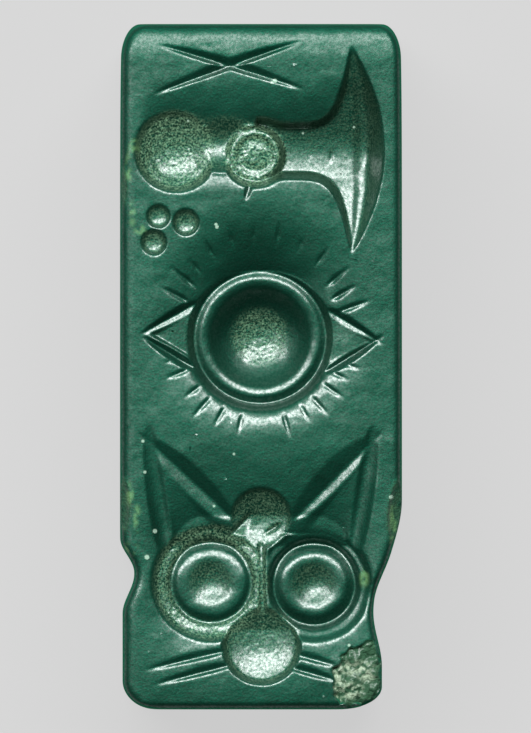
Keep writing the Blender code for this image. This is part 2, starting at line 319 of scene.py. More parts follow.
@dataclass
class FaceField:
    """A regular grid of points over the engraved face, with the fields that are read from it."""

    left: float = 112
    right: float = 410
    top: float = 16
    bottom: float = 718
    step: float = 0.5
    seed: int = 1627

    def __post_init__(self) -> None:
        """Lay out the grid's points."""
        across = np.arange(self.left, self.right + self.step / 2, self.step)
        down = np.arange(self.top, self.bottom + self.step / 2, self.step)
        self.x, self.y = np.meshgrid(across, down)
        self.random = np.random.default_rng(self.seed)

    def soften(self, values: Array, spread: float) -> Array:
        """Blur a field with a bell curve, one axis after the other.

        Args:
            values: The field.
            spread: The bell curve's standard deviation, in layout units.

        Returns:
            The blurred field, as if its borders went on unchanged.
        """
        cells = spread / self.step
        reach = int(np.ceil(3 * cells))
        offsets = np.arange(-reach, reach + 1)
        weights = np.exp(-0.5 * (offsets / cells) ** 2)
        weights /= weights.sum()
        for axis in (0, 1):
            count = values.shape[axis]
            margins = [(reach, reach) if side == axis else (0, 0) for side in (0, 1)]
            padded = np.pad(values, margins, mode="edge")
            taken = [np.take(padded, np.arange(k, k + count), axis=axis) for k in range(len(weights))]
            values = sum(weight * part for weight, part in zip(weights, taken))
        return values

    def unevenness(self, spread: float) -> Array:
        """Return blurred random heights of that spread, scaled to a standard deviation of 1."""
        values = self.soften(self.random.standard_normal(self.x.shape), spread)
        return values / values.std()

    def sample(self, values: Array, x: Array, y: Array) -> Array:
        """Read a field between its grid points, in proportion to the distances from the nearest four."""
        column = np.clip((x - self.left) / self.step, 0, values.shape[1] - 1.001)
        row = np.clip((y - self.top) / self.step, 0, values.shape[0] - 1.001)
        i = column.astype(int)
        j = row.astype(int)
        s = column - i
        t = row - j
        upper = values[j, i] * (1 - s) + values[j, i + 1] * s
        lower = values[j + 1, i] * (1 - s) + values[j + 1, i + 1] * s
        return upper * (1 - t) + lower * t


@dataclass
class Engraving:
    """Everything cut into the face, device by device, and the field of depths that it makes."""

    face: FaceField = field(default_factory=FaceField)
    rim_wear: float = 1
    collar_stamp: Pair = (30, 25)
    drill_relief: Pair = (0.13, 0.06)
    face_relief: Pair = (0.15, 0.05)
    crown: float = 2.5
    half_width: float = 141
    lash_centre: Pair = (261, 340)
    lower_lashes: Row = (
        193, 202, 217, 228.5, 241.5, 256, 287, 301, 312, 325, 335.5, 344,
    )  # fmt: skip
    upper_lashes: Row = (
        152, 141, 131.7, 119.4, 106, 94, 81, 67.6, 53.9, 39.7, 30, 20,
    )  # fmt: skip

    def crossed_strokes(self) -> list:
        """Return the two crossing strokes at the upper end."""
        return [
            WheelStroke((154, 44), (310, 92), 8.5, 1.6, 5.5),
            WheelStroke((148, 97), (306, 40), 8.5, 1.6, 5.5),
        ]

    def disc_and_trumpet(self) -> list:
        """Return the drilled disc, the neck, the trumpet with its crescent and the nick."""
        disc = (
            (0, 18), (8, 17.6), (16, 16.2), (24, 13.9), (30, 11.4), (33, 9.8), (35, 9.6), (37, 8), (41, 0),
        )  # fmt: skip
        return [
            TurnedCut(176, 151, disc, grain=0.85),
            WheelStroke((176, 143), (272, 143), 30, 30, 15, 0.5, True, 0.3),
            Trumpet(),
            WheelStroke((253, 174), (245, 202), 3, 3, 5, 0.5),
            WheelStroke((331, 131), (332, 182), 1.8, 1.8, 31, 0.45),
        ]

    def collar(self) -> TurnedCut:
        """Return the collar, which was drilled over the neck and the trumpet."""
        profile = (
            (0, 9), (8, 9.2), (12, 9.8), (15.5, 10.9), (18, 10), (21, 8.2), (23, 8),
            (25, 9.2), (26.5, 10.8), (28, 10), (30, 5), (32, 1), (34, 0),
        )  # fmt: skip
        return TurnedCut(255, 155, profile, grain=1)

    def dots(self) -> list:
        """Return the three drilled dots."""
        return [
            BallDrill(158.5, 216.5, 11.5, 24, 5.5),
            BallDrill(186, 222.5, 13, 26, 7),
            BallDrill(154, 242.5, 12.5, 26, 7),
        ]

    def eye(self) -> list:
        """Return the eye: its bowl and ring, the fields in its corners, and their outlines."""
        bowl = (
            (0, 34), (10, 33.3), (20, 31.1), (30, 27.2), (38, 22.8), (45, 17.6), (50, 13), (52, 11.9),
            (57.5, 10.4), (58.5, 10.4), (62, 12), (66, 15), (67.5, 14.5), (71.5, 4), (75, 2.2),
            (80, 0.6), (86, 0),
        )  # fmt: skip
        return [
            TurnedCut(260, 337.5, bowl, grain=0.7, grain_to=27),
            SunkField(((148, 334.5), (199, 307), (199, 365)), 4, grain=0.1),
            SunkField(((376, 341), (322, 311), (324, 369)), 4, grain=0.1),
            WheelStroke((139, 335), (217, 291), 5, 15, 6.5, 0.6),
            WheelStroke((140, 335), (207, 376), 6, 6, 8, 0.6),
            WheelStroke((385, 345), (314, 301), 13, 5, 6.5, 0.6),
            WheelStroke((386, 334), (316, 378), 6, 6, 8, 0.6),
        ]

    def lashes(self) -> list:
        """Return the lashes: short strokes that point away from the eye, deepest near it."""
        middle_x, middle_y = self.lash_centre
        fans = ((self.lower_lashes, 71, 102, 2.6, 3.4), (self.upper_lashes, 76, 116, 2.9, 3.9))
        strokes = []
        for angles, near, far, depth, width in fans:
            for number, angle in enumerate(angles):
                turn = np.radians(angle)
                reach = far + 5 * np.sin(2.4 * number)
                start = (middle_x + near * np.cos(turn), middle_y - near * np.sin(turn))
                end = (middle_x + reach * np.cos(turn), middle_y - reach * np.sin(turn))
                clockwise, other = (0.7 * width, width) if middle_x < start[0] else (width, 0.7 * width)
                strokes.append(WheelStroke(start, end, clockwise, other, depth, 0.3))
        return strokes

    def cat_head(self) -> list:
        """Return the cat's head: ears, ringed eyes, forehead, bridge, nose and whiskers."""
        left_eye = (
            (0, 16), (6, 15.4), (12, 13.6), (17, 11.5), (21, 9.6), (25, 8.6), (31, 8.3), (34.5, 8.9),
            (37, 10.6), (39.5, 12.8), (41, 12.8), (42.5, 9.8), (44, 8.9), (49, 7.3), (53, 6), (56, 4.6),
            (58, 1), (60, 0),
        )  # fmt: skip
        right_eye = (
            (0, 17), (6, 16.3), (12, 14.3), (17, 12), (21, 10), (25, 8.8), (27, 8.5), (30, 8.4), (33, 9.3),
            (36, 11), (40, 14), (42, 15.5), (45, 6.8), (46.5, 6.4), (51, 5.1), (54, 4.4), (57, 0.8), (60, 0),
        )  # fmt: skip
        left_ear = ((152, 446), (172, 566), (246, 552))
        right_ear = ((370, 446), (350, 566), (276, 552))
        return [
            SunkField(left_ear, 2, 0.02, wall_slope=0.4),
            SunkField(right_ear, 2, 0.02, wall_slope=0.4),
            WheelStroke((149, 424), (171, 572), 9, 13, 6.2, 0.5, True),
            WheelStroke((138, 431), (246, 531), 14, 19, 6.2, 0.45),
            WheelStroke((373, 424), (349, 572), 13, 9, 6.2, 0.5, True),
            WheelStroke((384, 430), (284, 530), 13, 18, 5.2, 0.45),
            TurnedCut(211, 582, left_eye, grain=0.8, grain_from=41),
            TurnedCut(211, 582, left_eye, grain=0.35, grain_to=22),
            TurnedCut(314, 584, right_eye, grain=0.3, grain_to=22),
            BallDrill(261, 518, 30, 70, 10, 0.4),
            WheelStroke((226, 539), (261, 502), 3, 26, 12.5, 0.5, grain=0.3),
            WheelStroke((256, 539), (288, 518), 3, 10, 12, 0.5, grain=0.4),
            BallDrill(261.5, 645, 40, 92, 15, 0.4, 1.6),
            WheelStroke((260, 508), (264, 676), 7, 7, 10, 0.5, True, 0.5),
            WheelStroke((140, 671.5), (240, 648), 6.5, 2.6, 3, 0.6),
            WheelStroke((150, 686), (244, 662), 6.5, 2.6, 3.4, 0.6),
            WheelStroke((284, 652), (344, 668), 6.5, 2.6, 3, 0.4),
            WheelStroke((280, 665), (344, 683), 6.5, 2.6, 3.4, 0.4),
        ]

    def basins(self) -> list:
        """Return the worn shoulders round the trumpet group, the eye and the cat's head."""
        return [
            Basin((176, 150), (345, 150), 25, (52, 9.6), (12, 1.5), (20, 1.9), 1.5),
            Basin((256, 338), (266, 338), 67, (74, 19), (56, 5.5), (34, 4.8), 5),
            Basin((205, 582), (317, 582), 48, (101, 15.2), (22, 3.6), (60, 4.6), 10.2),
        ]

    def depths(self) -> Array:
        """Return the field of depths: the deepest cut at each point, worn soft, over the basins."""
        face = self.face
        depth = np.zeros_like(face.x)
        groups = (
            self.crossed_strokes, self.disc_and_trumpet, self.dots, self.eye, self.lashes, self.cat_head,
        )  # fmt: skip
        for group in groups:
            for tool in group():
                depth = rounded_max(depth, tool.cut(face.x, face.y), 1)
            LOG.info("cut %s", group.__name__.replace("_", " "))
        collar = self.collar()
        r = np.hypot(face.x - collar.x, face.y - collar.y)
        stamp = smooth_step(*self.collar_stamp, r)
        drilled = collar.cut(face.x, face.y)
        depth = np.maximum(depth, drilled) * (1 - stamp) + drilled * stamp
        depth = face.soften(depth, self.rim_wear)
        for basin in self.basins():
            worn = basin.cut(face.x, face.y)
            beyond = np.maximum(worn - basin.level, 0)
            depth = rounded_max(depth, beyond, 2) + np.minimum(worn, basin.level)
        depth = face.soften(depth, 0.7)
        drilled = self.drilled_share()
        fine, coarse = self.drill_relief
        depth = depth + drilled * (fine * face.unevenness(0.8) + coarse * face.unevenness(1.7))
        slow, quick = self.face_relief
        return depth + self.pillow() + slow * face.unevenness(6) + quick * face.unevenness(2)

    def pillow(self) -> Array:
        """Return how much lower the face is than its middle line, as the square of the way out."""
        return self.crown * ((self.face.x - CENTRE_X) / self.half_width) ** 2

    def drilled_share(self) -> Array:
        """Return how much of the drill's rough grain is left at each point, from 0 to 1."""
        face = self.face
        share = np.zeros_like(face.x)
        for tool in [*self.disc_and_trumpet(), *self.dots(), *self.eye(), *self.cat_head(), self.collar()]:
            reached = smooth_step(1, 5, tool.cut(face.x, face.y)) * tool.grain
            if isinstance(tool, TurnedCut):
                r = np.hypot(face.x - tool.x, face.y - tool.y)
                reached = reached * smooth_step(tool.grain_to + 6, tool.grain_to - 6, r)
                reached = reached * smooth_step(tool.grain_from - 2, tool.grain_from + 2, r)
            share = np.maximum(share, reached)
        return face.soften(share, 1.5)


@dataclass
class Breakage:
    """The broken lower right corner of the face, and the flakes and pale veins on its long edges."""
    face: FaceField
    corner: tuple[Pair, ...] = (
        (331, 667), (338, 706), (365, 706), (382, 690),
        (379, 650), (373, 640), (350, 648), (341, 656),
    )  # fmt: skip
    corner_depth: float = 6
    corner_relief: Pair = (1.6, 0.8)
    flakes: tuple[Flake, ...] = (
        Flake(98, 187, 254, (34, 58, 30)),
        Flake(101, 505, 252, (33, 60, 27)),
        Flake(421, 520, 258, (40, 70, 34)),
    )
    veins: tuple[Row, ...] = (
        (134, 148, 6, 9), (129, 168, 4, 16), (132, 214, 4, 12), (141, 230, 7, 5), (130, 494, 4, 12),
        (137, 518, 3.5, 14), (131, 548, 8, 6), (364, 578, 5, 10), (393, 522, 4, 24),
    )  # fmt: skip
    crumbs: tuple[Row, ...] = (
        (337, 684, 6, 22), (355, 668, 20, 8), (350, 690, 14, 9), (366, 674, 10, 8),
    )  # fmt: skip

    def patches(self, ovals: tuple, spread: float) -> Array:
        """Return patches: ovals of x, y and two radii, broken up by random heights of that spread."""
        face = self.face
        share = np.zeros_like(face.x)
        for x, y, wide, long in ovals:
            r = np.hypot((face.x - x) / wide, (face.y - y) / long)
            share = np.maximum(share, smooth_step(1.3, 0.4, r))
        return share * smooth_step(-0.8, 0.8, face.unevenness(spread))

    def scar_share(self, points: Array) -> Array:
        """Return how far each point lies on the wall of a flake's ellipsoid, from 0 to 1."""
        share = np.zeros(len(points))
        for flake in self.flakes:
            offset = (points - np.array([flake.x, flake.y, flake.height])) / np.array(flake.radii)
            share = np.maximum(share, smooth_step(1.05, 1, np.linalg.norm(offset, axis=-1)))
        return share

    def corner_share(self) -> Array:
        """Return 1 inside the broken corner and 0 outside, with an uneven border."""
        wander = 2 * self.face.unevenness(3)
        inside = polygon_depth(self.corner, self.face.x, self.face.y) + wander
        return smooth_step(-0.5, 2, inside)

    def corner_cut(self, share: Array) -> Array:
        """Return the break's depth: its share times an uneven floor."""
        slow, quick = self.corner_relief
        floor = self.corner_depth + slow * self.face.unevenness(4) + quick * self.face.unevenness(1.5)
        return share * floor


@dataclass
class StoneBlank:
    """The worn bar: rounded sections lofted along it, end faces, and the hole for a cord."""

    left_side: float = 120
    right_side: float = 402
    left_step: Triple = (2.5, 530, 600)
    right_step: Triple = (20, 500, 600)
    left_notch: Row = (572, 34, 42, 12.5)
    right_notch: Row = (612, 60, 55, 8.5)
    upper_corner: Pair = (18, 34)
    upper_taper: Pair = (2, 45)
    lower_left_corner: Pair = (34, 29)
    lower_right_corner: Pair = (42, 23)
    edge_left: float = 15
    edge_right: float = 11
    edge_drop: float = 16
    edge_power: float = 2.5
    base_edge: float = 10
    upper_round: float = 42
    lower_round: float = 9
    lower_slope: Pair = (34, 2)
    end_drop: float = 16
    hole_radius: float = 36.3
    hole_height: float = THICKNESS / 2
    hole_mouth: float = 4
    hole_inset: float = 40
    hole_steps: int = 7
    mouth_steps: int = 4
    end_face_steps: int = 6
    end_steps: int = 56
    end_reach: float = 36
    step: float = 1
    side_steps: int = 44
    base_steps: int = 20
    corner_steps: int = 14

    def half_outline(self, y: Array) -> tuple[Array, Array]:
        """Return the left and right side's x at each y.

        Each side steps in towards the lower end and has a cosine-squared notch. At the corners both
        draw in as an ellipse in plan, with an exponential taper before the upper ones.
        """
        left_amount, *left_span = self.left_step
        right_amount, *right_span = self.right_step
        left = self.left_side + left_amount * smooth_step(*left_span, y) + self.notch(y, *self.left_notch)
        right = self.right_side - right_amount * smooth_step(*right_span, y)
        right = right - self.notch(y, *self.right_notch)
        from_top = np.maximum(y - UPPER_END, 0)
        from_bottom = np.maximum(LOWER_END - y, 0)
        amount, fade = self.upper_taper
        upper = self.ellipse_inset(from_top, *self.upper_corner) + amount * np.exp(-from_top / fade)
        left = left + upper + self.ellipse_inset(from_bottom, *self.lower_left_corner)
        right = right - upper - self.ellipse_inset(from_bottom, *self.lower_right_corner)
        return left, right

    def flank_share(self, points: Array) -> Array:
        """Return 1 on the worn edge round the face and 0 from 16 units in from it or 50 down its sides."""
        left, right = self.half_outline(points[:, 1])
        inward = np.minimum(points[:, 0] - left, right - points[:, 0])
        inward = np.minimum(inward, np.minimum(points[:, 1] - UPPER_END, LOWER_END - points[:, 1]))
        return smooth_step(16, 9, inward) * smooth_step(50, 26, THICKNESS - points[:, 2])

    def notch(self, y: Array, centre: float, up: float, down: float, depth: float) -> Array:
        """Return depth * cos^2 of a quarter turn over the reach above or below the centre."""
        away = np.clip(np.abs(y - centre) / np.where(y < centre, up, down), 0, 1)
        return depth * np.cos(away * np.pi / 2) ** 2

    def ellipse_inset(self, distance: Array, across: float, along: float) -> Array:
        """Return across * (1 - sqrt(1 - u^2)), where u is how far the end has been neared."""
        near = np.clip(1 - distance / along, 0, 1)
        return across * (1 - np.sqrt(1 - near**2))

    def end_inset(self, y: Array) -> Array:
        """Return the drop of the face near each end: a superellipse, after a slight fall at the lower one."""
        near_upper = np.clip(1 - (y - UPPER_END) / self.upper_round, 0, 1)
        near_lower = np.clip(1 - (LOWER_END - y) / self.lower_round, 0, 1)
        near = np.maximum(near_upper, near_lower)
        reach, fall = self.lower_slope
        falling = fall * np.clip(1 - (LOWER_END - y) / reach, 0, 1) ** 2
        return falling + self.end_drop * (1 - (1 - near**self.edge_power) ** (1 / self.edge_power))

    def stations(self) -> Array:
        """Return the y of each section, close together where the ends turn over."""
        share = np.linspace(0, 1, self.end_steps + 1)
        turn = self.end_reach * share**1.6
        count = int(round((STONE_LENGTH - 2 * self.end_reach) / self.step))
        middle = np.linspace(UPPER_END + self.end_reach, LOWER_END - self.end_reach, count + 1)
        return np.concatenate([UPPER_END + turn[:-1], middle, LOWER_END - turn[::-1][1:]])

    def section(self, y: Array) -> tuple[Array, Array]:
        """Return x and z round each section, clockwise seen from the lower end, as (sections, points).

        Each section is a rectangle with superellipse corners: the face, the right side, the base and
        the left side, joined by corner arcs.
        """
        y = y[:, None]
        left, right = self.half_outline(y)
        inset = self.end_inset(y)
        top = THICKNESS - inset
        base = 0.5 * inset
        width = self.right_side - self.edge_right - self.left_side - self.edge_left
        across = np.linspace(0, 1, int(round(width / self.step)) + 1)
        down = np.linspace(0, 1, self.side_steps + 1)
        back = np.linspace(0, 1, self.base_steps + 1)
        turn = np.linspace(0, np.pi / 2, self.corner_steps + 1)
        rise = np.sin(turn) ** (2 / self.edge_power)
        reach = np.cos(turn) ** (2 / self.edge_power)
        foot = self.base_edge
        shoulder = top - self.edge_drop
        flat = left + self.edge_left + (right - self.edge_right - left - self.edge_left) * across
        parts = [
            (flat, top + 0 * flat),
            (right - self.edge_right * (1 - rise), top - self.edge_drop * (1 - reach)),
            (right + 0 * down, shoulder - (shoulder - base - foot) * down),
            (right - foot * (1 - reach), base + foot * (1 - rise)),
            (right - foot - (right - left - 2 * foot) * back, base + 0 * back),
            (left + foot * (1 - rise), base + foot * (1 - reach)),
            (left + 0 * down, base + foot + (shoulder - base - foot) * down),
            (left + self.edge_left * (1 - reach), top - self.edge_drop * (1 - rise)),
        ]
        x, z = (np.concatenate([part[k][:, :-1] for part in parts], axis=1) for k in (0, 1))
        return x, z

    def circle(self, angle: Array, radius: float, y: float) -> Array:
        """Return a ring of points round the middle of the hole, at that y."""
        ring_x = CENTRE_X + radius * np.cos(angle)
        ring_z = self.hole_height + radius * np.sin(angle)
        return np.stack([ring_x, np.full_like(angle, y), ring_z], axis=-1)

    def end_rings(self, rim: Array, inward: float) -> Array:
        """Return the rings of an end face, from its rim to the hole's mouth and a little way in.

        Args:
            rim: The points round the end face.
            inward: 1 where the stone lies at larger y, and -1 where it lies at smaller.

        Returns:
            Points as (rings, points, 3). The rim and the mouth's circle are joined in equal shares,
            and the mouth turns in on a quarter circle.
        """
        end = rim[0, 1]
        angle = np.arctan2(rim[:, 2] - self.hole_height, rim[:, 0] - CENTRE_X)
        mouth = self.circle(angle, self.hole_radius + self.hole_mouth, end)
        rings = [rim + (mouth - rim) * share for share in np.linspace(0, 1, self.end_face_steps + 1)[1:]]
        for turn in np.linspace(0, np.pi / 2, self.mouth_steps + 1)[1:]:
            radius = self.hole_radius + self.hole_mouth * (1 - np.sin(turn))
            rings.append(self.circle(angle, radius, end + inward * self.hole_mouth * (1 - np.cos(turn))))
        return np.array(rings)

    def hole_rings(self, angle: Array) -> Array:
        """Return rings along the inside of the hole, from near the lower end to near the upper one."""
        places = np.linspace(LOWER_END - self.hole_inset, UPPER_END + self.hole_inset, self.hole_steps + 1)
        return np.array([self.circle(angle, self.hole_radius, y) for y in places])


def new_object(name: str, data: bpy.types.ID) -> bpy.types.Object:
    """Return a new object in the scene, with this data."""
    thing = bpy.data.objects.new(name, data)
    bpy.context.scene.collection.objects.link(thing)
    return thing


@dataclass
class SealStone:
    """The whole stone: blank, engraving and breakage as one mesh, with its surface masks."""

    engraving: Engraving = field(default_factory=Engraving)
    blank: StoneBlank = field(default_factory=StoneBlank)
    triangles: int = 192_000

    def build(self, finish: bpy.types.Material) -> bpy.types.Object:
        """Make the stone, with its masks as point attributes.

        Args:
            finish: The stone's material.

        Returns:
            The finished object.
        """
        face = self.engraving.face
        breakage = Breakage(face)
        share = breakage.corner_share()
        depths = rounded_max(self.engraving.depths(), breakage.corner_cut(share), 1)
        rings = self.rings(depths, breakage.flakes)
        thing = self.mesh_object("engraved_seal_stone", rings)
        self.thin(thing)
        mesh = thing.data
        masks = {
            "drilled": self.engraving.drilled_share(),
            "broken": share,
            # The depths also steer the painted shade in the cuts.
            "hollow": depths,
            "vein": breakage.patches(breakage.veins, 1.6),
            "crumb": breakage.patches(breakage.crumbs, 1),
        }
        points = self.read_points(mesh)
        for name, values in masks.items():
            read = face.sample(values, points[:, 0], points[:, 1])
            self.add_mask(mesh, name, read * (points[:, 2] > THICKNESS - ENGRAVED_REACH))
        self.add_mask(mesh, "scar", breakage.scar_share(points))
        # The edge round the face, which the material paints with a green sheen at grazing angles.
        self.add_mask(mesh, "flank", self.blank.flank_share(points))
        mesh.materials.append(finish)
        mesh.shade_smooth()
        LOG.info("engraved_seal_stone: %d triangles", len(mesh.polygons))
        return thing

    def rings(self, depths: Array, flakes: tuple[Flake, ...]) -> Array:
        """Return every ring of points, once round through the hole, as (rings, points, 3).

        Args:
            depths: The field of depths over the face.
            flakes: The scars on the edges.

        Returns:
            The outer rings from the upper end to the lower, then the lower end's, the hole's and
            the upper end's.
        """
        blank = self.blank
        y = blank.stations()
        x, z = blank.section(y)
        rows = np.broadcast_to(y[:, None], x.shape)
        outer = np.stack([x, rows, z], axis=-1)
        outer[..., 2] = self.engraved_height(outer, depths)
        for flake in flakes:
            outer = self.pushed_out(outer, flake)
        angle = np.arctan2(z[-1] - blank.hole_height, x[-1] - CENTRE_X)
        lower = blank.end_rings(outer[-1], -1)
        upper = blank.end_rings(outer[0], 1)
        return np.concatenate([outer, lower, blank.hole_rings(angle), upper[::-1]])

    def engraved_height(self, outer: Array, depths: Array) -> Array:
        """Return each outer point's height: the cut comes off it, less and less down the sides."""
        drop = THICKNESS - outer[..., 2]
        cut = self.engraving.face.sample(depths, outer[..., 0], outer[..., 1])
        lowered = drop + np.maximum(cut, 0) * smooth_step(ENGRAVED_REACH, 12, drop)
        return np.where(drop < ENGRAVED_REACH, THICKNESS - lowered, outer[..., 2])

    def pushed_out(self, points: Array, flake: Flake) -> Array:
        """Return the points with those inside the flake's ellipsoid moved out from its middle to it."""
        middle = np.array([flake.x, flake.y, flake.height])
        offset = points - middle
        scaled = np.linalg.norm(offset / np.array(flake.radii), axis=-1, keepdims=True)
        return middle + offset / np.minimum(scaled, 1)

    def mesh_object(self, name: str, rings: Array) -> bpy.types.Object:
        """Return an object whose faces join each ring to the next, and the last to the first."""
        count, size, _ = rings.shape
        places = (rings.reshape(-1, 3) - (CENTRE_X, CENTRE_Y, 0)) * (UNIT, -UNIT, UNIT)
        places[:, 2] = np.maximum(places[:, 2], 0)
        ring = np.arange(count)[:, None]
        point = np.arange(size)[None, :]
        next_ring = (ring + 1) % count * size
        next_point = (point + 1) % size
        ring = ring * size
        corners = [ring + point, next_ring + point, next_ring + next_point, ring + next_point]
        corners = np.stack(corners, axis=-1).reshape(-1, 4)
        mesh = bpy.data.meshes.new(name)
        mesh.vertices.add(len(places))
        mesh.vertices.foreach_set("co", places.ravel())
        mesh.loops.add(corners.size)
        mesh.loops.foreach_set("vertex_index", corners.ravel())
        mesh.polygons.add(len(corners))
        mesh.polygons.foreach_set("loop_start", np.arange(0, corners.size, 4))
        mesh.update(calc_edges=True)
        mesh.validate()
        return new_object(name, mesh)

    def thin(self, thing: bpy.types.Object) -> None:
        """Merge the faces that matter least, down to the number of triangles that a piece may have."""
        thinning = thing.modifiers.new("thinning", "DECIMATE")
        thinning.ratio = self.triangles / (2 * len(thing.data.polygons))
        thinning.use_collapse_triangulate = True
        evaluated = thing.evaluated_get(bpy.context.evaluated_depsgraph_get())
        baked = bpy.data.meshes.new_from_object(evaluated)
        thing.modifiers.clear()
        thing.data = baked

    def read_points(self, mesh: bpy.types.Mesh) -> Array:
        """Return the mesh's points in layout units."""
        places = np.empty(len(mesh.vertices) * 3)
        mesh.vertices.foreach_get("co", places)
        return places.reshape(-1, 3) / UNIT * (1, -1, 1) + (CENTRE_X, CENTRE_Y, 0)

    def add_mask(self, mesh: bpy.types.Mesh, name: str, values: Array) -> None:
        """Store one number a point under a name that the material reads."""
        mask = mesh.attributes.new(name, "FLOAT", "POINT")
        mask.data.foreach_set("value", values.astype(np.float32))


class Socket(Enum):
    """The kinds of value that pass in and out of a shader group."""

    NUMBER = "NodeSocketFloat"
    VECTOR = "NodeSocketVector"


class Wiring:
    """Adds nodes to a shader tree and joins them."""

    def __init__(self, tree: bpy.types.NodeTree) -> None:
        """Work on this tree."""
        self.tree = tree

    def add(self, kind: str, settings: dict | None = None, **inputs) -> bpy.types.Node:
        """Add a node.

        Args:
            kind: The node's type.
            settings: Its own properties, by name.
            **inputs: What each input is given, as feed takes it.

        Returns:
            The new node.
        """
        node = self.tree.nodes.new(kind)
        for name, value in (settings or {}).items():
            setattr(node, name, value)
        self.feed(node, **inputs)
        return node

    def feed(self, node: bpy.types.Node, **inputs) -> None:
        """Give a node's inputs a value or another node's output.

        Args:
            node: The node.
            **inputs: A value or an output for each input, by its name in lower case, or by its
                number as in_0.
        """
        for name, value in inputs.items():
            socket = self.find(node, name)
            if isinstance(value, Signal):
                self.tree.links.new(value, socket)
            else:
                socket.default_value = value

    def find(self, node: bpy.types.Node, name: str) -> Signal:
        """Return the input with this name, or with this number as in_0."""
        if name.startswith("in_"):
            return node.inputs[int(name[3:])]
        return next(s for s in node.inputs if s.name.lower().replace(" ", "_") == name and s.enabled)

    def maths(self, operation: str, first, second=0, clamp: bool = False) -> Signal:
        """Return the result of an operation on two values."""
        settings = {"operation": operation, "use_clamp": clamp}
        return self.add("ShaderNodeMath", settings, in_0=first, in_1=second).outputs[0]

    def blend(self, share, first, second) -> Signal:
        """Return a mix of two colours."""
        colours = (value if isinstance(value, Signal) else (*value, 1) for value in (first, second))
        inputs = dict(zip(("in_6", "in_7"), colours))
        return self.add("ShaderNodeMix", {"data_type": "RGBA"}, in_0=share, **inputs).outputs[2]

    def noise(self, place, scale, detail: float, roughness: float) -> Signal:
        """Return noise at a place."""
        inputs = {"scale": scale, "detail": detail, "roughness": roughness}
        return self.add("ShaderNodeTexNoise", vector=place, **inputs).outputs[0]

    def spread(self, value, low: float, high: float) -> Signal:
        """Return the value with low to high stretched over 0 to 1 and clamped."""
        node = self.add("ShaderNodeMapRange", {"clamp": True}, value=value, from_min=low, from_max=high)
        return node.outputs[0]


def shader_group(
    name: str, inputs: dict, outputs: tuple
) -> tuple[Wiring, bpy.types.NodeOutputs, bpy.types.Node]:
    """Start a shader group, which takes a place.

    Args:
        name: The group's name.
        inputs: The default of each other input, by name: a number or a vector.
        outputs: The names of the numbers that it gives.

    Returns:
        The group's wiring, what it is given, and its output node.
    """
    tree = bpy.data.node_groups.new(name, "ShaderNodeTree")
    tree.interface.new_socket(name="Place", in_out="INPUT", socket_type=Socket.VECTOR.value)
    for label, default in inputs.items():
        kind = Socket.VECTOR if isinstance(default, tuple) else Socket.NUMBER
        socket = tree.interface.new_socket(name=label, in_out="INPUT", socket_type=kind.value)
        socket.default_value = default
    for label in outputs:
        tree.interface.new_socket(name=label, in_out="OUTPUT", socket_type=Socket.NUMBER.value)
    return Wiring(tree), tree.nodes.new("NodeGroupInput").outputs, tree.nodes.new("NodeGroupOutput")


def mottle_group() -> bpy.types.NodeTree:
    """Return the group for clouded stone: slow clouds and fine flecks, each stretched to 0 to 1."""
    inputs = {"Cloud size": 60, "Fleck size": 5}
    net, given, result = shader_group("stone_mottle", inputs, ("Cloud", "Fleck"))
    for label, detail, low, high in (("cloud", 5, 0.35, 0.68), ("fleck", 3, 0.3, 0.75)):
        scale = net.maths("DIVIDE", 1, given[f"{label.title()} size"])
        noise = net.noise(given["Place"], scale, detail, 0.6)
        net.feed(result, **{label: net.spread(noise, low, high)})
    return net.tree


def grain_group() -> bpy.types.NodeTree:
    """Return the group for a surface's small relief: fine pitting plus coarser drill grain."""
    inputs = {"Fine": 0.2, "Coarse": 0, "Coarse size": 2.2}
    net, given, result = shader_group("stone_grain", inputs, ("Height",))
    fine = net.noise(given["Place"], 0.42, 3, 0.65)
    coarse = net.noise(given["Place"], net.maths("DIVIDE", 1, given["Coarse size"]), 2, 0.5)
    fine = net.maths("MULTIPLY", fine, given["Fine"])
    coarse = net.maths("MULTIPLY", coarse, given["Coarse"])
    net.feed(result, height=net.maths("ADD", fine, coarse))
    return net.tree


def speck_group() -> bpy.types.NodeTree:
    """Return the group for one round speck: 1 within its radius in plan, 0 a unit further out."""
    inputs = {"Centre": (0, 0, 0), "Radius": 1}
    net, given, result = shader_group("stone_speck", inputs, ("Share",))
    kind = "ShaderNodeVectorMath"
    flat = net.add(kind, {"operation": "MULTIPLY"}, in_0=given["Place"], in_1=(1, 1, 0)).outputs[0]
    away = net.add(kind, {"operation": "DISTANCE"}, in_0=flat, in_1=given["Centre"]).outputs["Value"]
    inner = net.maths("SUBTRACT", away, given["Radius"])
    net.feed(result, share=net.spread(inner, 1, 0))
    return net.tree


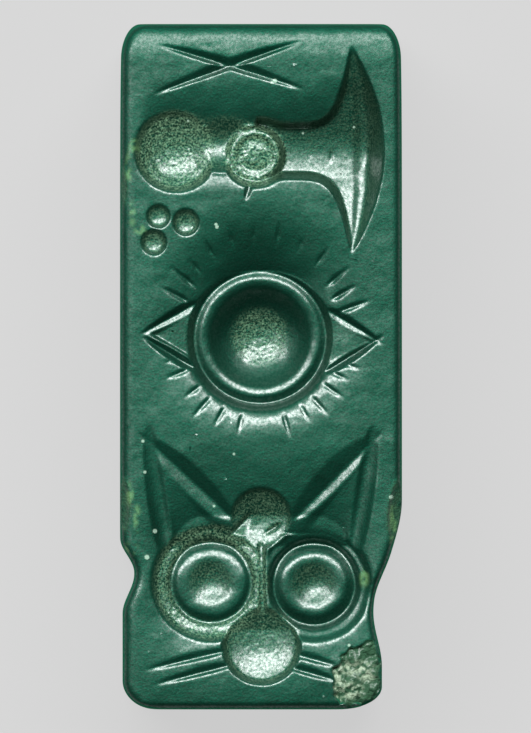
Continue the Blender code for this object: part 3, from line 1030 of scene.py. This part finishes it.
@dataclass(frozen=True)
class Jasper:
    """Dark green jasper: worn polish, rough drilled hollows, a pale break, painted shade in cuts and a
    painted edge sheen.
    """

    specks: tuple[Triple, ...] = (
        (155, 531, 1.6), (147, 557, 1.8), (143, 441, 1), (391, 497, 1.5), (217, 227, 1.2),
        (216, 224.5, 1), (145, 472, 1), (234, 454, 0.7), (275, 81, 1.5), (272, 82.5, 1),
        (214, 506, 0.7), (349, 645, 0.9), (303, 133, 0.6), (354, 127, 0.6), (188, 121, 0.6),
    )  # fmt: skip
    deep: Triple = (0.0010, 0.012, 0.0065)
    light: Triple = (0.0030, 0.030, 0.018)
    # Painted shade: the colour that the deeper cuts are darkened towards, in place of the shade inside them.
    hollow: Triple = (0.0005, 0.007, 0.0040)
    cream: Triple = (0.36, 0.45, 0.32)
    brown: Triple = (0.040, 0.085, 0.045)
    sheen_tint: Triple = (0.05, 1, 0.58)
    vein: Triple = (0.10, 0.21, 0.08)
    grit: Triple = (0.21, 0.36, 0.21)
    speck: Triple = (0.34, 0.48, 0.38)
    # Painted sheen: the green, mostly metallic colour that the edges round the face turn to at grazing
    # angles.
    rim: Triple = (0.021, 0.205, 0.12)
    edge_sheen_metal: float = 0.9
    edge_sheen_facing: Pair = (0.38, 0.75)
    painted_shade_depths: Pair = (3, 26)
    grit_spread: Pair = (0.42, 0.74)
    roughness: float = 0.52
    broken_roughness: float = 0.85
    scar_wear: float = 0.6
    fine_grain: float = 0.7
    drilled_grain: float = 0.6
    broken_grain: float = 2.5
    specular: float = 0.54
    stone_ior: float = 1.6
    polish: float = 1
    polish_roughness: float = 0.285
    polish_ior: float = 1.92
    fleck_spread: Pair = (0.40, 0.62)
    fleck_loss: float = 0.65
    drilled_loss: float = 0.15
    scuffed_from: float = 300
    scuffed_over: float = 22
    scuffed_loss: float = 0.68

    def material(self) -> bpy.types.Material:
        """Return the jasper material."""
        material = bpy.data.materials.new("green_jasper_worn")
        material.use_nodes = True
        net = Wiring(material.node_tree)
        shader = material.node_tree.nodes["Principled BSDF"]
        own = net.add("ShaderNodeTexCoord").outputs["Object"]
        place = net.add("ShaderNodeMapping", vector=own, scale=(1 / UNIT,) * 3).outputs[0]
        masks = {}
        for name in ("drilled", "broken", "hollow", "vein", "crumb", "scar", "flank"):
            masks[name] = net.add("ShaderNodeAttribute", {"attribute_name": name}).outputs["Fac"]
        mottle = net.add("ShaderNodeGroup", {"node_tree": mottle_group()}, place=place).outputs
        colour = net.blend(mottle["Cloud"], self.deep, self.light)
        # Painted shade: the deeper the cut, the darker its colour, from the first to the second depth.
        painted_shade = net.spread(masks["hollow"], *self.painted_shade_depths)
        colour = net.blend(painted_shade, colour, self.hollow)
        broken_colour = net.blend(masks["crumb"], self.brown, self.cream)
        grit = net.spread(net.noise(place, 0.5, 2, 0.6), *self.grit_spread)
        colour = net.blend(net.maths("MULTIPLY", grit, masks["drilled"]), colour, self.grit)
        colour = net.blend(masks["broken"], colour, broken_colour)
        colour = net.blend(net.maths("MULTIPLY", masks["scar"], mottle["Fleck"]), colour, self.brown)
        colour = net.blend(masks["vein"], colour, self.vein)
        colour = net.blend(self.speck_share(net, place), colour, self.speck)
        # Painted sheen: seen at a grazing angle, the edges round the face turn metallic green and lose their
        # coat.
        rim = net.add("ShaderNodeLayerWeight", blend=0.5).outputs["Facing"]
        rim = net.maths("MULTIPLY", net.spread(rim, *self.edge_sheen_facing), masks["flank"])
        worn = net.maths("MULTIPLY", masks["scar"], self.scar_wear)
        worn = net.maths("MAXIMUM", masks["broken"], worn)
        rough = net.maths("MULTIPLY", worn, self.broken_roughness - self.roughness)
        drilled = net.maths("MULTIPLY", masks["drilled"], self.drilled_grain)
        coarse = net.maths("ADD", drilled, net.maths("MULTIPLY", worn, self.broken_grain))
        inputs = {"place": place, "coarse": coarse, "fine": self.fine_grain}
        grain = net.add("ShaderNodeGroup", {"node_tree": grain_group()}, **inputs).outputs["Height"]
        bump = net.add("ShaderNodeBump", strength=1, distance=UNIT, height=grain).outputs[0]
        net.feed(
            shader,
            base_color=net.blend(rim, colour, self.rim),
            metallic=net.maths("MULTIPLY", rim, self.edge_sheen_metal),
            roughness=net.maths("ADD", rough, self.roughness),
            normal=bump,
            specular_ior_level=self.specular,
            specular_tint=(*self.sheen_tint, 1),
            ior=self.stone_ior,
            coat_weight=net.maths("SUBTRACT", self.polish_left(net, place, masks), rim, clamp=True),
            coat_roughness=self.polish_roughness,
            coat_ior=self.polish_ior,
        )
        return material

    def polish_left(self, net: Wiring, place: Signal, masks: dict) -> Signal:
        """Return how much of the polish is left at each point.

        Args:
            net: The material's wiring.
            place: The surface's place.
            masks: The stone's masks, by name.

        Returns:
            The polish: flecked, more so in the drilled hollows, and with less of it at the upper
            end and where the stone is broken.
        """
        flecks = net.spread(net.noise(place, 0.38, 3, 0.7), *self.fleck_spread)
        loss = net.maths("MULTIPLY", masks["drilled"], self.drilled_loss)
        loss = net.maths("ADD", loss, self.fleck_loss)
        lost = net.maths("MULTIPLY", loss, net.maths("SUBTRACT", 1, flecks))
        left = net.maths("SUBTRACT", self.polish, lost, clamp=True)
        height = net.add("ShaderNodeSeparateXYZ", vector=place).outputs["Y"]
        scuffed = net.spread(height, self.scuffed_from, self.scuffed_from + self.scuffed_over)
        gone = net.maths("MAXIMUM", scuffed, masks["broken"])
        gone = net.maths("MULTIPLY", gone, self.scuffed_loss)
        return net.maths("MULTIPLY", left, net.maths("SUBTRACT", 1, gone), clamp=True)

    def speck_share(self, net: Wiring, place: Signal) -> Signal:
        """Return 1 on the white specks and 0 elsewhere."""
        settings = {"node_tree": speck_group()}
        share = 0
        for x, y, radius in self.specks:
            centre = (x - CENTRE_X, CENTRE_Y - y, 0)
            speck = net.add("ShaderNodeGroup", settings, place=place, centre=centre, radius=radius)
            share = net.maths("MAXIMUM", speck.outputs["Share"], share)
        return share


@dataclass
class Studio:
    """The pale floor, the soft lights and the camera straight above."""

    camera_height: float = 0.40
    focus_height: float = 0.0056
    frame_height: float = 733
    frame_centre: Pair = (265.5, 366.5)
    sensor: float = 36
    key_direction: Triple = (-0.09, 0.49, 0.87)
    key_distance: float = 0.30
    key_size: Pair = (0.36, 0.10)
    key_power: float = 1.82
    fill_direction: Triple = (-0.58, 0.08, 0.81)
    fill_size: Pair = (0.26, 0.26)
    fill_power: float = 0.03
    world_light: float = 0.014
    floor_glow: float = 0.595
    floor_bounce: float = 0.45
    floor_colour: float = 0.06
    floor_half: float = 0.6

    def build(self) -> None:
        """Make the floor, lights, world and camera."""
        self.floor()
        self.light("key_light", self.key_direction, self.key_size, self.key_power)
        self.light("side_light", self.fill_direction, self.fill_size, self.fill_power)
        world = bpy.data.worlds.new("dim_room")
        world.use_nodes = True
        background = world.node_tree.nodes["Background"]
        Wiring(world.node_tree).feed(background, color=(1, 1, 1, 1), strength=self.world_light)
        bpy.context.scene.world = world
        self.camera()
        bpy.context.scene.view_settings.view_transform = "Standard"

    def floor(self) -> None:
        """Make the floor, a wide square that glows a little so that it stays plain and pale."""
        half = self.floor_half
        mesh = bpy.data.meshes.new("pale_floor")
        corners = [(-half, -half, 0), (half, -half, 0), (half, half, 0), (-half, half, 0)]
        mesh.from_pydata(corners, [], [(0, 1, 2, 3)])
        material = bpy.data.materials.new("pale_card")
        material.use_nodes = True
        shader = material.node_tree.nodes["Principled BSDF"]
        net = Wiring(material.node_tree)
        seen = net.add("ShaderNodeLightPath").outputs["Is Camera Ray"]
        glow = net.maths("MAXIMUM", seen, self.floor_bounce)
        net.feed(
            shader,
            base_color=(self.floor_colour,) * 3 + (1,),
            roughness=1,
            specular_ior_level=0,
            emission_color=glow,
            emission_strength=self.floor_glow,
        )
        mesh.materials.append(material)
        floor = new_object("pale_floor", mesh)

    def light(self, name: str, direction: tuple, size: Pair, power: float) -> None:
        """Make a soft light that faces the stone from a direction, as wide and as high as the size."""
        lamp = bpy.data.lights.new(name, "AREA")
        lamp.shape = "RECTANGLE"
        lamp.size, lamp.size_y = size
        lamp.energy = power
        thing = new_object(name, lamp)
        away = np.array(direction) / np.linalg.norm(direction)
        thing.location = away * self.key_distance
        thing.rotation_mode = "QUATERNION"
        thing.rotation_quaternion = thing.location.to_track_quat("Z", "Y")

    def camera(self) -> None:
        """Make the camera, whose long lens takes in the layout's frame at the face's height."""
        lens = bpy.data.cameras.new("overhead_camera")
        distance = self.camera_height - self.focus_height
        lens.sensor_width = self.sensor
        lens.lens = self.sensor * distance / (self.frame_height * UNIT)
        lens.clip_end = 10
        thing = new_object("overhead_camera", lens)
        x = (self.frame_centre[0] - CENTRE_X) * UNIT
        y = (CENTRE_Y - self.frame_centre[1]) * UNIT
        thing.location = (x, y, self.camera_height)
        bpy.context.scene.camera = thing


def main() -> None:
    """Load the frame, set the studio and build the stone."""
    logging.basicConfig(level=logging.INFO, format="%(name)s: %(message)s")
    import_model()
    Studio().build()
    stone = SealStone().build(Jasper().material())
    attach(stone, "root")
    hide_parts("seal_stone")


if __name__ == "__main__":
    main()
